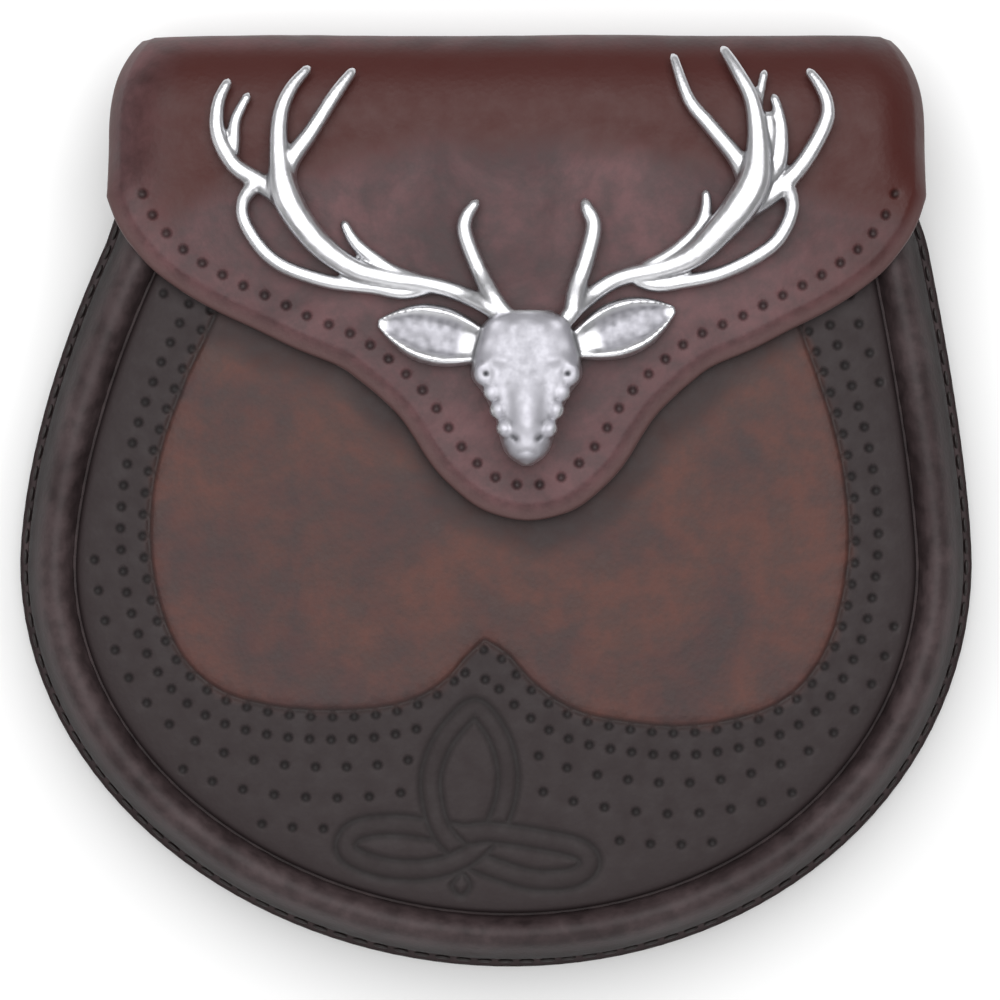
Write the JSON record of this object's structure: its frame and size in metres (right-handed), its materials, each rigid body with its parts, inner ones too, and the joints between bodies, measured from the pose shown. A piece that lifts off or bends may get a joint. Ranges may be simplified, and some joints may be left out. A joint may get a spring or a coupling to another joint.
{
  "type": "sporran pouch",
  "caption": "Closed leather day sporran with a domed front, bulging gusset, rolled flap, strap loops on its back and a cast stag's head with antlers on its flap",
  "frame": {"origin": "middle of the object's footprint, on the surface that it lies on", "axes": "+X across the pouch to the viewer's right, +Y up the pouch from bowl to flap roll, +Z out of its front towards the viewer"},
  "size_m": [0.19, 0.1849, 0.048],
  "materials": {
    "back_leather": "dark brown vegetable-tanned leather, smooth",
    "gusset_leather": "near-black brown leather, softly polished",
    "front_leather": "brown leather with a darker dyed, tooled border",
    "flap_leather": "red-brown leather with a soft polish and a punched row along its edge",
    "cast_badge": "polished silver-coloured cast pewter",
    "stud_metal": "plain nickel-coloured metal",
    "loop_leather": "dark brown leather strap"
  },
  "bodies": {
    "root": {"back_panel": "back_leather", "gusset": "gusset_leather", "front_panel": "front_leather", "flap": "flap_leather", "stag_head_badge": "cast_badge", "flap_stud": "stud_metal", "belt_loop_left": "loop_leather", "belt_loop_right": "loop_leather"}
  },
  "joints": []
}
